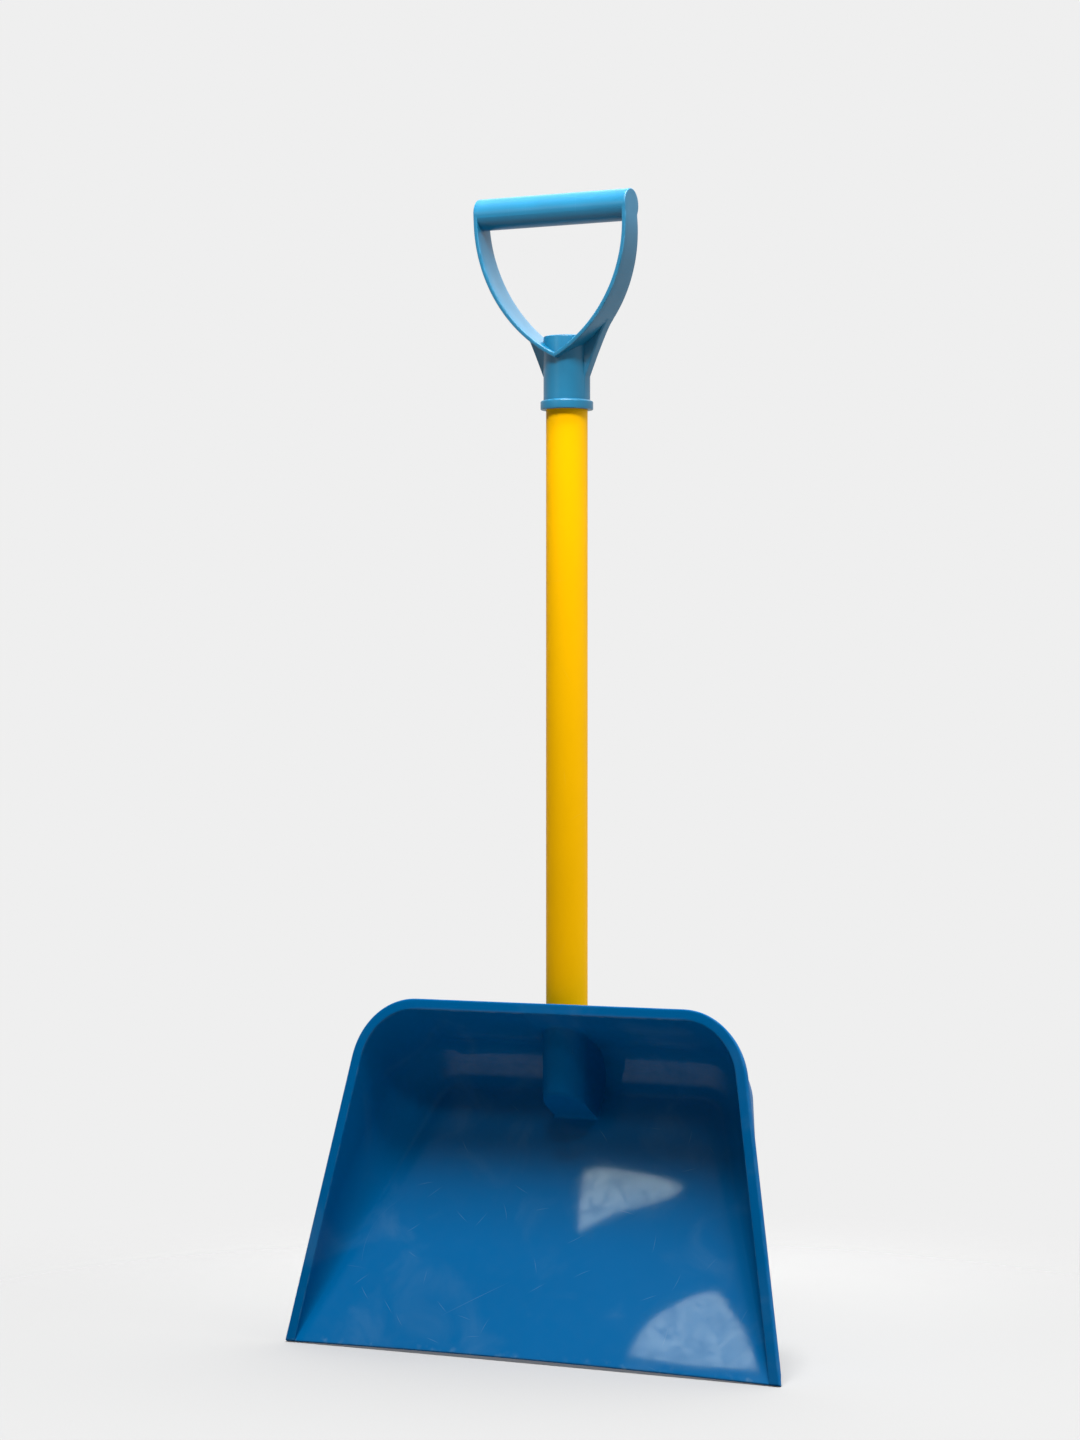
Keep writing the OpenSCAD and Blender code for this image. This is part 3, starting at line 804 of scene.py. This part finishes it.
# Finish: satin, with a fine grain, and paler along its tight edges, partly where hands rub them and partly as
# a painted highlight
grip_blue = (0.003, 0.145, 0.275, 1)
grip_pale = (0.07, 0.27, 0.45, 1)
grip_sharp_r = 0.9 * mm
grip_pigment = {"Colour": grip_blue, "Drift": 0.2, "Size": 60}
grip_scratches = {"Cells": 120, "Length": 4 * mm, "Width": 0.1 * mm, "Share": 0.3}
grip_skin = {"Wave Depth": 0.03 * mm, "Wave Size": 70, "Grain Depth": 0.003 * mm, "Grain Size": 1100}
grip_wear_and_highlight = {"Size": 160}
grip_worn_and_highlit_most = 0.6
grip_line_most = 0.25
grip_dull = 0.32
grip_dull_drift = 0.12
grip_scratch_dull = 0.15

mark_bulges(grip.data, grip_sharp_r)
tree, shader, place = new_material("grip_blue", grip)
# Tight edges lightened towards grip_pale, partly as rubbed wear and partly as a painted highlight
worn_and_highlit_edges = worked(tree, "MULTIPLY", placed(tree, edge_wear_and_highlight, place, grip_wear_and_highlight), grip_worn_and_highlit_most)
lines = placed(tree, scratches, place, grip_scratches)
scuffs_and_edge_highlight = worked(tree, "MAXIMUM", worn_and_highlit_edges, worked(tree, "MULTIPLY", lines, grip_line_most))
dull = noise(tree, place, size=90, detail=3)
dull = worked(tree, "MULTIPLY_ADD", dull, grip_dull_drift, grip_dull)
feed(tree, shader, {
    "Base Color": mixed(tree, scuffs_and_edge_highlight, placed(tree, pigment, place, grip_pigment), grip_pale),
    "Roughness": worked(tree, "MULTIPLY_ADD", lines, grip_scratch_dull, dull),
    "Specular IOR Level": 0.45,
    "Normal": bumped(tree, placed(tree, skin, place, grip_skin))})
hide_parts("grip")
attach(grip, "root")


# Fixing screws: two plated steel pan-head screws with cross slots, driven from behind through the
# sleeve and the socket into the tube's wall.

shank_r = 1.5 * mm
shank_len = 9 * mm
point = 0.5 * mm
head_h = 2.2 * mm
head_break = 0.2 * mm
head_side = 0.7 * mm
dome_shape = 0.8
slot_w = 1 * mm
slot_len = 3.8 * mm
slot_deep = 1.3 * mm
slot_crease = 30


def block(width, back_low, back_high, tall, height):
    """A plain block across the screw's line: a grid of two levels of four corners."""
    x = np.array([-1, 1, 1, -1]) * width / 2
    z = height + np.array([-1, -1, 1, 1]) * tall / 2
    return np.stack([np.stack([x, 0 * x + axis_y + back, z], axis=-1) for back in (back_low, back_high)])


# Profile from the point along the shank, out under the head and over its dome
dome_steps = 12
dome = np.linspace(0, np.pi / 2, dome_steps + 1)
screw_radius = np.concatenate([
    [0, shank_r - point, shank_r, shank_r, head_r - head_break, head_r], head_r * np.cos(dome) ** dome_shape])
screw_back = np.concatenate([
    [-shank_len, -shank_len, point - shank_len, 0, 0, head_break],
    head_side + (head_h - head_side) * np.sin(dome)])
screws = []
for name, height, seat in zip(("scoop_screw", "grip_screw"), screw_heights, (socket_r, grip_socket_r)):
    screw = make_piece(name, [(turned_back(screw_radius, seat + screw_back, height), True, False)])
    for width, tall in ((slot_len, slot_w), (slot_w, slot_len)):
        slot = block(width, seat + head_h - slot_deep, seat + 2 * head_h, tall, height)
        tool = make_piece("slot", [(slot, False, True)], caps=list(slot))
        fuse(screw, tool, "DIFFERENCE", crease=slot_crease)
    screws.append(screw)

# Finish: bright plating, stained in places and brushed along the screw
screw_steel = (0.62, 0.62, 0.6, 1)
screw_dark = (0.25, 0.24, 0.22, 1)
screw_sharp_r = 0.6 * mm
screw_skin = {"Wave Depth": 0.005 * mm, "Wave Size": 300, "Grain Depth": 0.003 * mm, "Grain Size": 4000}
screw_wear = {"Size": 500}
screw_draw = 0.05
stain_most = 0.35
stain_dull = 0.25
screw_dull = 0.34
worn_shine = -0.1
for screw in screws:
    mark_bulges(screw.data, screw_sharp_r)
    tree, shader, place = new_material("screw_steel", screw)
    stain = ranged(tree, noise(tree, place, size=700, detail=4), low=0.45, high=0.75)
    brushed = add(tree, "Mapping", {"Vector": place, "Scale": (1, screw_draw, 1)}).outputs["Vector"]
    dull = worked(tree, "MULTIPLY_ADD", placed(tree, edge_wear_and_highlight, place, screw_wear), worn_shine, screw_dull)
    feed(tree, shader, {
        "Base Color": mixed(tree, worked(tree, "MULTIPLY", stain, stain_most), screw_steel, screw_dark),
        "Metallic": 1.0,
        "Roughness": worked(tree, "MULTIPLY_ADD", stain, stain_dull, dull),
        "Normal": bumped(tree, placed(tree, skin, brushed, screw_skin))})
    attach(screw, "root")
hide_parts("fixing_screws")


# Studio: a pale paper floor that fades into the pale surround, one broad lamp overhead,
# and a small one nearer the grip. The surround lights the shovel from behind.

pale = (0.863, 0.863, 0.863, 1)
dim = (0.03, 0.03, 0.03, 1)
bright = (1.25, 1.25, 1.25, 1)
bright_way = (0.35, 0.93, 0.1)
floor_reach = 8
floor_seen = 0.386
floor_lighting = 0.22
fibre_depth = 0.02


def flat_sheet(name, corners):
    """One sheet through its corners, in order."""
    mesh = bpy.data.meshes.new(name)
    mesh.from_pydata(corners.tolist(), [], [list(range(len(corners)))])
    sheet = bpy.data.objects.new(name, mesh)
    bpy.context.scene.collection.objects.link(sheet)
    return sheet


def background_rays(tree):
    """1 for the rays that show the background: the camera's, and those that a surface turns aside."""
    path = add(tree, "LightPath").outputs
    turned_aside = worked(tree, "MAXIMUM", path["Is Glossy Ray"], path["Is Transmission Ray"])
    return worked(tree, "MAXIMUM", path["Is Camera Ray"], turned_aside)


floor_corners = floor_reach * np.array([(-1, -1, 0), (1, -1, 0), (1, 1, 0), (-1, 1, 0)])
floor = flat_sheet("studio_floor", floor_corners)
tree, shader, place = new_material("floor_paper", floor)
tree.nodes.remove(shader)
path = add(tree, "LightPath").outputs
far = add(tree, "VectorMath", {0: place}, operation="LENGTH").outputs["Value"]
fade = worked(tree, "MULTIPLY", ranged(tree, far, low=0.25, high=0.65), background_rays(tree))
shade = ranged(tree, path["Is Diffuse Ray"], 0, 1, to_low=floor_seen, to_high=floor_lighting)
shade = worked(tree, "SUBTRACT", shade, fibre_depth / 2)
fibre = worked(tree, "MULTIPLY_ADD", noise(tree, place, size=800), fibre_depth, shade)
paper = add(tree, "BsdfDiffuse", {"Color": fibre}).outputs["BSDF"]
clear = add(tree, "BsdfTransparent").outputs["BSDF"]
both = add(tree, "MixShader", {0: fade, 1: paper, 2: clear}).outputs["Shader"]
feed(tree, tree.nodes["Material Output"], {"Surface": both})

world = bpy.data.worlds.new("studio")
bpy.context.scene.world = world
world.use_nodes = True
tree = world.node_tree
aim = add(tree, "TexCoord").outputs["Generated"]
behind = add(tree, "VectorMath", {0: aim, 1: bright_way}, operation="DOT_PRODUCT").outputs["Value"]
room = mixed(tree, ranged(tree, behind, low=-0.25, high=0.35), dim, bright)
feed(tree, tree.nodes["Background"], {"Color": mixed(tree, background_rays(tree), room, pale)})


def lamp(name, place, aim, size, power, spread=180):
    """A square soft lamp at a place, turned to what it lights."""
    data = bpy.data.lights.new(name, "AREA")
    data.size = size
    data.energy = power
    data.spread = math.radians(spread)
    item = bpy.data.objects.new(name, data)
    bpy.context.scene.collection.objects.link(item)
    item.location = place
    item.visible_camera = False
    away = np.array(place) - np.array(aim)
    item.rotation_euler = (math.atan2(math.hypot(away[0], away[1]), away[2]), 0,
                           math.atan2(away[1], away[0]) + math.pi / 2)


lamp("top_lamp", place=(0.2, -0.42, 3.2), aim=(0, 0, 0.3), size=1.2, power=174)
lamp("grip_lamp", place=(0.2, -0.58, 1.36), aim=(0, 0, 0.75), size=0.3, power=0.85, spread=34)


# Camera: level with the middle of the handle, in front of the scoop's open side and some way round
# towards +X, as in the photograph.

view_yaw = math.radians(27)
view_pitch = math.radians(0.15)
camera_far = 2093 * mm
camera_aside = 16.1 * mm
camera_height = 371 * mm
focal_px, image_h, sensor = 3492, 1440, 36
clip_near, clip_far = 0.05, 50
camera_data = bpy.data.cameras.new("camera")
camera_data.sensor_width = sensor
camera_data.lens = focal_px / image_h * sensor
camera_data.clip_start = clip_near
camera_data.clip_end = clip_far
camera = bpy.data.objects.new("camera", camera_data)
bpy.context.scene.collection.objects.link(camera)
camera_x = camera_far * math.sin(view_yaw) - camera_aside * math.cos(view_yaw)
camera_y = axis_y - camera_far * math.cos(view_yaw) - camera_aside * math.sin(view_yaw)
camera.location = (camera_x, camera_y, camera_height)
camera.rotation_euler = (math.pi / 2 + view_pitch, 0, view_yaw)
bpy.context.scene.camera = camera
bpy.context.scene.view_settings.view_transform = "Standard"


# Lit cards: three glowing sheets out of the picture. The polished floor of the scoop mirrors two as bright
# patches, each followed back from its outline on the floor to where its card stands,
# and the third, above and behind, gives the grip's arms and bar their sheen.

card_light = 34
card_tint = (0.82, 1, 0.97, 1)
card_far = 1300 * mm
patches = {
    "upper_card": [(13, 112), (14, 118), (19, 122), (38, 121), (57, 119), (69, 117), (76, 115), (78, 112),
                   (76, 109), (67, 104), (51, 98), (36, 93), (24, 85), (18, 81), (15, 95)],
    "lower_card": [(66, 8), (69, 16), (70, 23), (76, 32), (86, 40), (97, 47), (108, 51), (115, 51),
                   (124, 41), (134, 31), (141, 20), (148, 8), (135, 7), (117, 6), (99, 6), (83, 7)]}
sheen_light = 2.2
sheen_tint = (1, 1, 1, 1)
sheen_left, sheen_right = -0.9, 0.4
sheen_low, sheen_high = (1.25, 0.95), (0.55, 1.75)


def mirrored(outline):
    """Corners of a card: each line from the camera to a point across and up the floor, turned back by the
    floor there, where the slope of the front's dip tips its normal, and followed for the card's distance."""
    x, y = np.array(outline).T * mm
    points = pan_place(np.stack([x, y, -dip(y)], axis=-1))
    slope = 2 * front_dip / dip_len * np.clip(1 - y / dip_len, 0, 1)
    tip = math.pi / 2 - floor_tilt + np.arctan(slope)
    normal = np.stack([0 * tip, -np.sin(tip), np.cos(tip)], axis=-1)
    ray = points - np.array(camera.location)
    ray /= np.linalg.norm(ray, axis=-1, keepdims=True)
    ray -= 2 * (ray * normal).sum(axis=-1, keepdims=True) * normal
    return points + card_far * ray


def lit_card(name, corners, tint, light):
    """A glowing sheet that only mirrored rays see."""
    card = flat_sheet(name, corners)
    card.visible_camera = card.visible_diffuse = card.visible_shadow = False
    tree, shader, place = new_material(name, card)
    tree.nodes.remove(shader)
    glow = add(tree, "Emission", {"Color": tint, "Strength": light}).outputs["Emission"]
    feed(tree, tree.nodes["Material Output"], {"Surface": glow})


for name, outline in patches.items():
    lit_card(name, mirrored(outline), card_tint, card_light)
sheen_corners = np.array([(sheen_left, *sheen_low), (sheen_right, *sheen_low),
                          (sheen_right, *sheen_high), (sheen_left, *sheen_high)])
lit_card("sheen_card", sheen_corners, sheen_tint, sheen_light)
